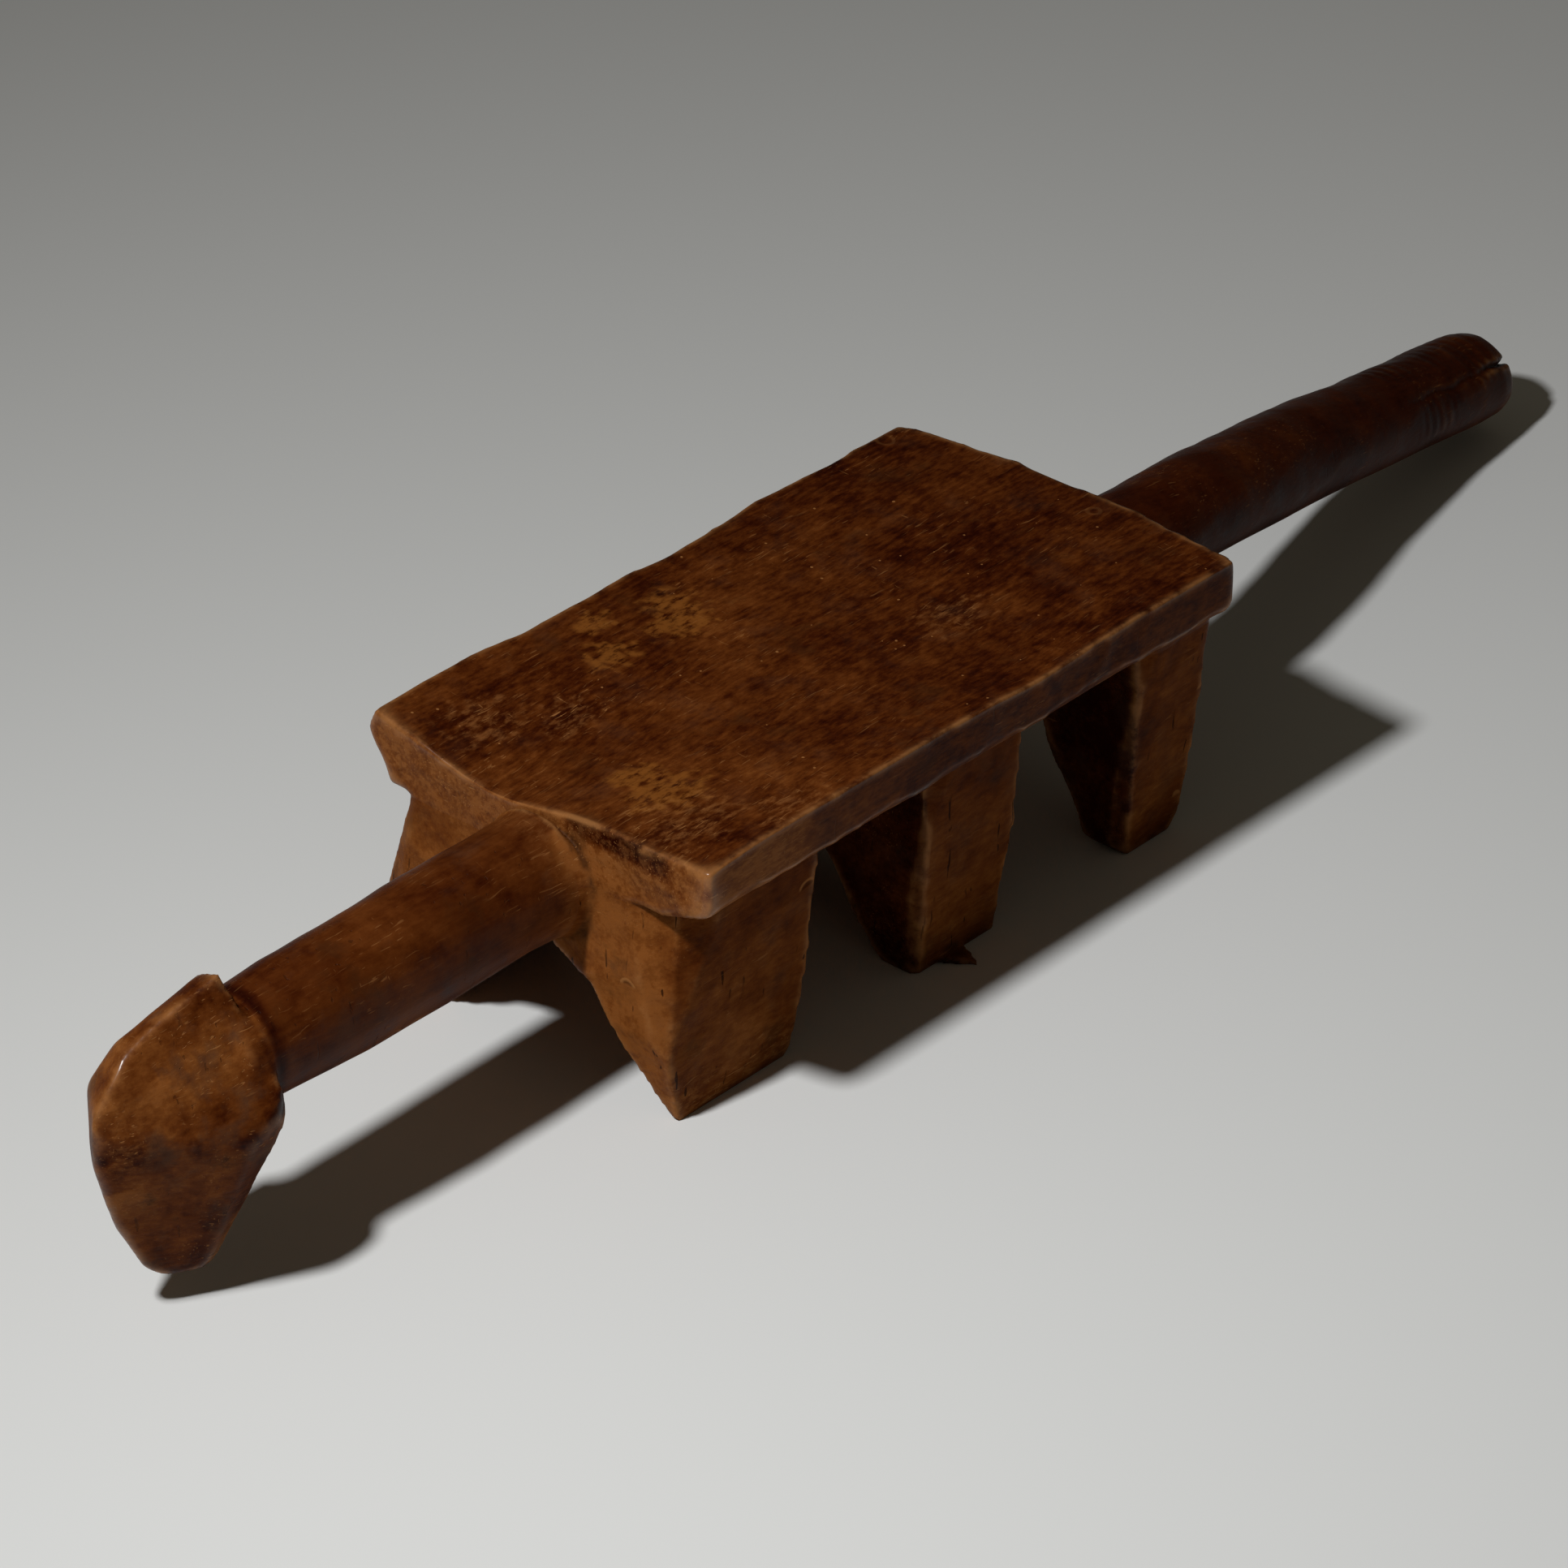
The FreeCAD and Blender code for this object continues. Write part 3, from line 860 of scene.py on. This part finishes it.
# "gloss" is the plain wood's and "shine" that of its handled edges
finishes = {
    "seat_wood": {
        "wood": {"blotch": 0.95, "flake": 1.25, "streak": 0.45, "stain": 0.50, "rub": 0.65, "soil": 0.15},
        "marks": {"scratches": 0.45, "specks": 0.9, "nicks": 0.15, "cracks": 0.15},
        "bump": 0.55, "gloss": 0.035, "shine": 0.55},
    "leg_wood": {
        "wood": {"blotch": 1.10, "flake": 0.75, "streak": 0.15, "stain": 0.50, "rub": 0.60, "soil": 0.25},
        "marks": {"scratches": 0.40, "specks": 0.0, "nicks": 0.7, "cracks": 0.8},
        "bump": 0.80, "gloss": 0.01, "shine": 0.10},
    "neck_wood": {
        "wood": {"blotch": 0.90, "flake": 0.45, "streak": 0.25, "stain": 0.50, "rub": 0.50, "soil": 0.25},
        "marks": {"scratches": 0.38, "specks": 0.0, "nicks": 0.3, "cracks": 0.4},
        "bump": 0.45, "gloss": 0.06, "shine": 0.35},
    "head_wood": {
        "wood": {"blotch": 1.70, "flake": 0.80, "streak": 0.15, "stain": 0.90, "rub": 0.60, "soil": 0.60},
        "marks": {"scratches": 0.65, "specks": 0.0, "nicks": 0.4, "cracks": 0.3},
        "bump": 0.70, "gloss": 0.035, "shine": 0.60},
    "tail_wood": {
        "wood": {"blotch": 0.60, "flake": 0.35, "streak": 0.20, "stain": 0.40, "rub": 0.50, "soil": 0.10},
        "marks": {"scratches": 0.30, "specks": 0.0, "nicks": 0.4, "cracks": 0.4},
        "bump": 0.50, "gloss": 0.04, "shine": 0.35},
}


def placeGroup(tree, group, values):
    node = tree.nodes.new("ShaderNodeGroup")
    node.node_tree = group
    for label, value in values.items():
        node.inputs[label].default_value = value
    return node.outputs


def finishWood(slotName):
    f = finishes[slotName]
    material = bpy.data.materials.new(slotName)
    material.use_nodes = True
    tree = material.node_tree
    shader = tree.nodes["Principled BSDF"]
    wood = placeGroup(tree, woodGroup, f["wood"])
    marks = placeGroup(tree, markGroup, f["marks"])
    colour = tint(tree, marks["Dark"], wood["Color"], darkColour)
    colour = tint(tree, times(tree, marks["Light"], 0.8), colour, wornColour)
    feed(tree, shader.inputs["Base Color"], colour)
    feed(tree, shader.inputs["Roughness"], plus(tree, wood["Rough"], times(tree, marks["Light"], 0.15)))
    shader.inputs["Specular IOR Level"].default_value = f["gloss"]
    # handled edges are polished
    shader.inputs["Coat Roughness"].default_value = 0.25
    feed(tree, shader.inputs["Coat Weight"], times(tree, kept(tree, "wear"), f["shine"]))
    relief = tree.nodes.new("ShaderNodeBump")
    relief.inputs["Strength"].default_value = f["bump"]
    relief.inputs["Distance"].default_value = 0.0010
    feed(tree, relief.inputs["Height"], plus(tree, wood["Height"], marks["Height"]))
    feed(tree, shader.inputs["Normal"], relief.outputs["Normal"])
    return material


report("dividing the skin")
pieces = dividePieces(skin)
bpy.data.objects.remove(skin)
materials = {slotName: finishWood(slotName) for slotName in finishes}
for piece, node, slot in pieces:
    piece.data.transform(Matrix.Translation(middle))
    piece.data.materials.append(materials[slot])
    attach(piece, "root")
    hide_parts(node)
    report("%s has %d faces" % (piece.name, len(piece.data.polygons)))


# ---- camera, light and floor ----
viewPlan = {"azimuth": 41.89, "elevation": 31.53, "distance": 2.7064, "lens": 139.75,
            "across": 0.0127, "up": 0.0662}
lightPlan = {"at": (0.055, -1.03, 1.393), "towards": (1.45, 1.75, 0.0), "size": 0.16, "energy": 27,
             "fill": (1.0, 0.88, 0.66), "fillLevel": 0.044, "floor": (0.80, 0.81, 0.80)}


def makeCamera():
    a, e = math.radians(viewPlan["azimuth"]), math.radians(viewPlan["elevation"])
    back = Vector((math.sin(a) * math.cos(e), -math.cos(a) * math.cos(e), math.sin(e)))
    right = Vector((math.cos(a), math.sin(a), 0))
    up = back.cross(right)
    data = bpy.data.cameras.new("camera")
    data.lens = viewPlan["lens"]
    data.sensor_width = 36
    data.clip_start = 0.05
    data.clip_end = 60
    camera = bpy.data.objects.new("camera", data)
    bpy.context.scene.collection.objects.link(camera)
    camera.location = (middle + Vector((0, 0, seatTop)) + back * viewPlan["distance"]
                       - right * viewPlan["across"] - up * viewPlan["up"])
    camera.rotation_mode = "QUATERNION"
    camera.rotation_quaternion = (-back).to_track_quat("-Z", "Y")
    bpy.context.scene.camera = camera


def makeLight():
    s = lightPlan
    bpy.ops.object.light_add(type="AREA", location=middle + Vector(s["at"]))
    key = bpy.context.object
    key.data.shape = "DISK"
    key.data.size = s["size"]
    key.data.energy = s["energy"]
    key.rotation_mode = "QUATERNION"
    key.rotation_quaternion = (middle + Vector(s["towards"]) - key.location).to_track_quat("-Z", "Y")
    world = bpy.data.worlds.new("studio")
    bpy.context.scene.world = world
    world.use_nodes = True
    world.node_tree.nodes["Background"].inputs[0].default_value = s["fill"] + (1,)
    world.node_tree.nodes["Background"].inputs[1].default_value = s["fillLevel"]


def makeFloor():
    bpy.ops.object.select_all(action="DESELECT")
    bpy.ops.mesh.primitive_plane_add(size=16, location=(0, 0, 0))
    floor = bpy.context.object
    floor.name = "floor"
    paper = bpy.data.materials.new("palePaper")
    paper.use_nodes = True
    shader = paper.node_tree.nodes["Principled BSDF"]
    shader.inputs["Base Color"].default_value = lightPlan["floor"] + (1,)
    shader.inputs["Roughness"].default_value = 0.9
    floor.data.materials.append(paper)


makeCamera()
makeLight()
makeFloor()
bpy.context.scene.view_settings.view_transform = "Standard"
